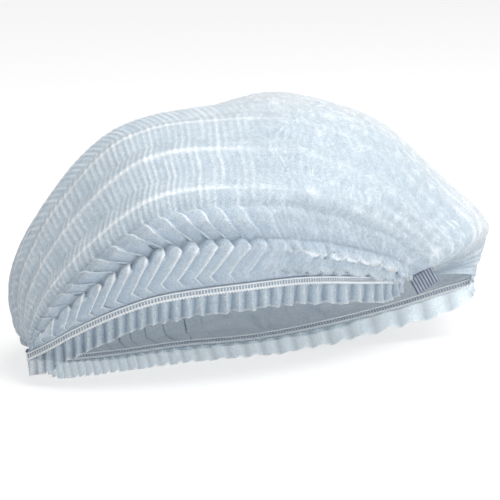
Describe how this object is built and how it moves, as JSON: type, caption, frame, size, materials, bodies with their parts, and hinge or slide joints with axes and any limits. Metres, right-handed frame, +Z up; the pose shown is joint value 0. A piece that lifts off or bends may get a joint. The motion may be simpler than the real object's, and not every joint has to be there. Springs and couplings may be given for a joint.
{
  "type": "disposable hair cover cap",
  "caption": "Light blue crimped nonwoven hair cover cap with an elastic rim and ruffled hem, pleated lengthwise and gathered at both ends.",
  "frame": {"origin": "on the floor, at the middle of the cap's length and depth", "axes": "+X along the cap's length from the left weld to the right one, -Y towards the open mouth, +Z up from the floor"},
  "size_m": [0.3136, 0.2092, 0.1509],
  "materials": {
    "nonwoven": "sheer crimped nonwoven, light blue",
    "elastic": "white overlock stitching over elastic tape",
    "weld": "ribbed ultrasonic weld, many layers of nonwoven pressed together"
  },
  "bodies": {
    "root": {"crown": "nonwoven", "elastic_band_front": "elastic", "elastic_band_back": "elastic", "hem_ruffle_front": "nonwoven", "hem_ruffle_back": "nonwoven", "weld_tab_left": "weld", "weld_tab_right": "weld"}
  },
  "joints": []
}
